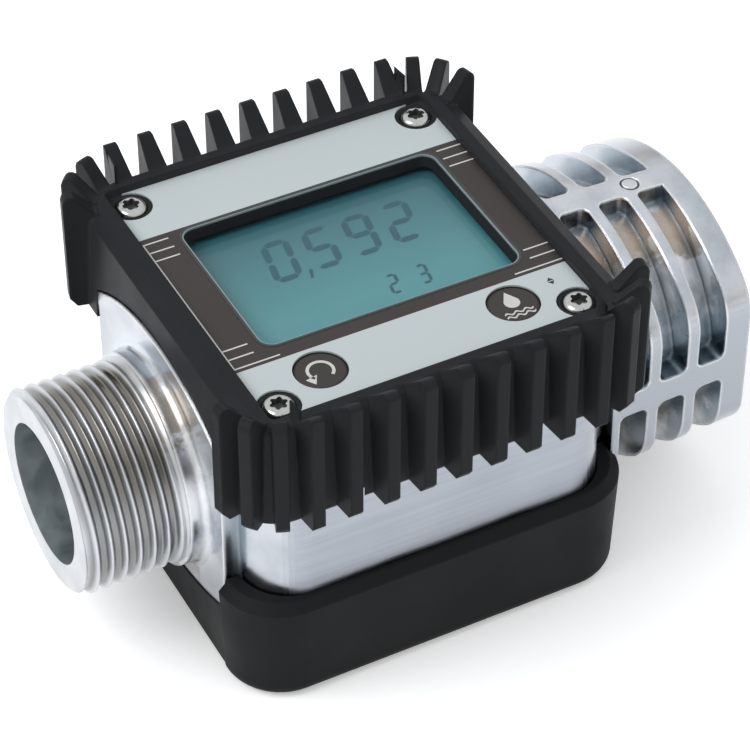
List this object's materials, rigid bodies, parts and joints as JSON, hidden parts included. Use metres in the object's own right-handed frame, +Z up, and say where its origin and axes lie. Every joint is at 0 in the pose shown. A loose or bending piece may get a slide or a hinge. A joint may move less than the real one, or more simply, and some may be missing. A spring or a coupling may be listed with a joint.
{
  "type": "turbine flow meter",
  "caption": "In-line liquid flow meter: cast body with a male and a ribbed female pipe end, turbine, finned frame with digital display, and battery cover.",
  "frame": {"origin": "centre of the battery cover's underside, below the middle of the square housing", "axes": "+X along the flow axis towards the ribbed female end, +Y to the rear of the display, +Z up out of the display face"},
  "size_m": [0.1114, 0.074, 0.0601],
  "materials": {
    "cast_aluminium": "bright die-cast aluminium, brushed on the front face",
    "black_plastic": "black moulded plastic, low gloss",
    "face_label": "printed polyester label, satin",
    "window_glass": "clear window",
    "lcd": "grey-green liquid crystal panel",
    "elastomer": "moulded elastomer",
    "board": "green solder mask",
    "component": "moulded component",
    "button": "dark keypad button, satin",
    "zinc_steel": "bright zinc plated steel",
    "rotor_plastic": "natural acetal",
    "bronze": "sintered bronze",
    "steel": "stainless steel",
    "cover_rubber": "black moulded rubber-like plastic",
    "battery": "wrapped steel can",
    "spring_brass": "plated spring strip"
  },
  "bodies": {
    "housing": {"meter_body": "cast_aluminium", "display_frame": "black_plastic", "lcd_holder": "black_plastic", "battery_holder": "black_plastic", "face_label": "face_label", "display_window": "window_glass", "lcd_panel": "lcd", "front_contact_strip": "elastomer", "rear_contact_strip": "elastomer", "frame_gasket": "elastomer", "cover_gasket": "elastomer", "circuit_board": "board", "reset_switch": "component", "flow_rate_switch": "component", "pulse_sensor": "component", "frame_screw_left_front": "zinc_steel", "frame_screw_left_rear": "zinc_steel", "frame_screw_right_front": "zinc_steel", "frame_screw_right_rear": "zinc_steel", "cover_screw_left_front": "zinc_steel", "cover_screw_left_rear": "zinc_steel", "cover_screw_right_front": "zinc_steel", "cover_screw_right_rear": "zinc_steel", "inlet_guide": "rotor_plastic", "outlet_guide": "rotor_plastic", "rotor_shaft": "steel", "inlet_retaining_ring": "steel", "outlet_retaining_ring": "steel", "battery_cover": "cover_rubber", "front_battery": "battery", "rear_battery": "battery", "left_battery_contact": "spring_brass", "right_battery_contact": "spring_brass"},
    "turbine": {"turbine_rotor": "rotor_plastic", "front_bushing": "bronze", "rear_bushing": "bronze", "upper_magnet": "steel", "lower_magnet": "steel"},
    "reset_key": {"reset_button": "button"},
    "flow_rate_key": {"flow_rate_button": "button"}
  },
  "joints": [
    {"name": "rotor_spin", "type": "hinge", "parent": "housing", "child": "turbine", "pos_m": [0, 0, 0.0279], "axis": [1, 0, 0], "continuous": true},
    {"name": "reset_press", "type": "slide", "parent": "housing", "child": "reset_key", "axis": [0, 0, -1], "range_m": [0, 0.0006], "stiffness_N_per_m": 300},
    {"name": "flow_rate_press", "type": "slide", "parent": "housing", "child": "flow_rate_key", "axis": [0, 0, -1], "range_m": [0, 0.0006], "stiffness_N_per_m": 300}
  ]
}
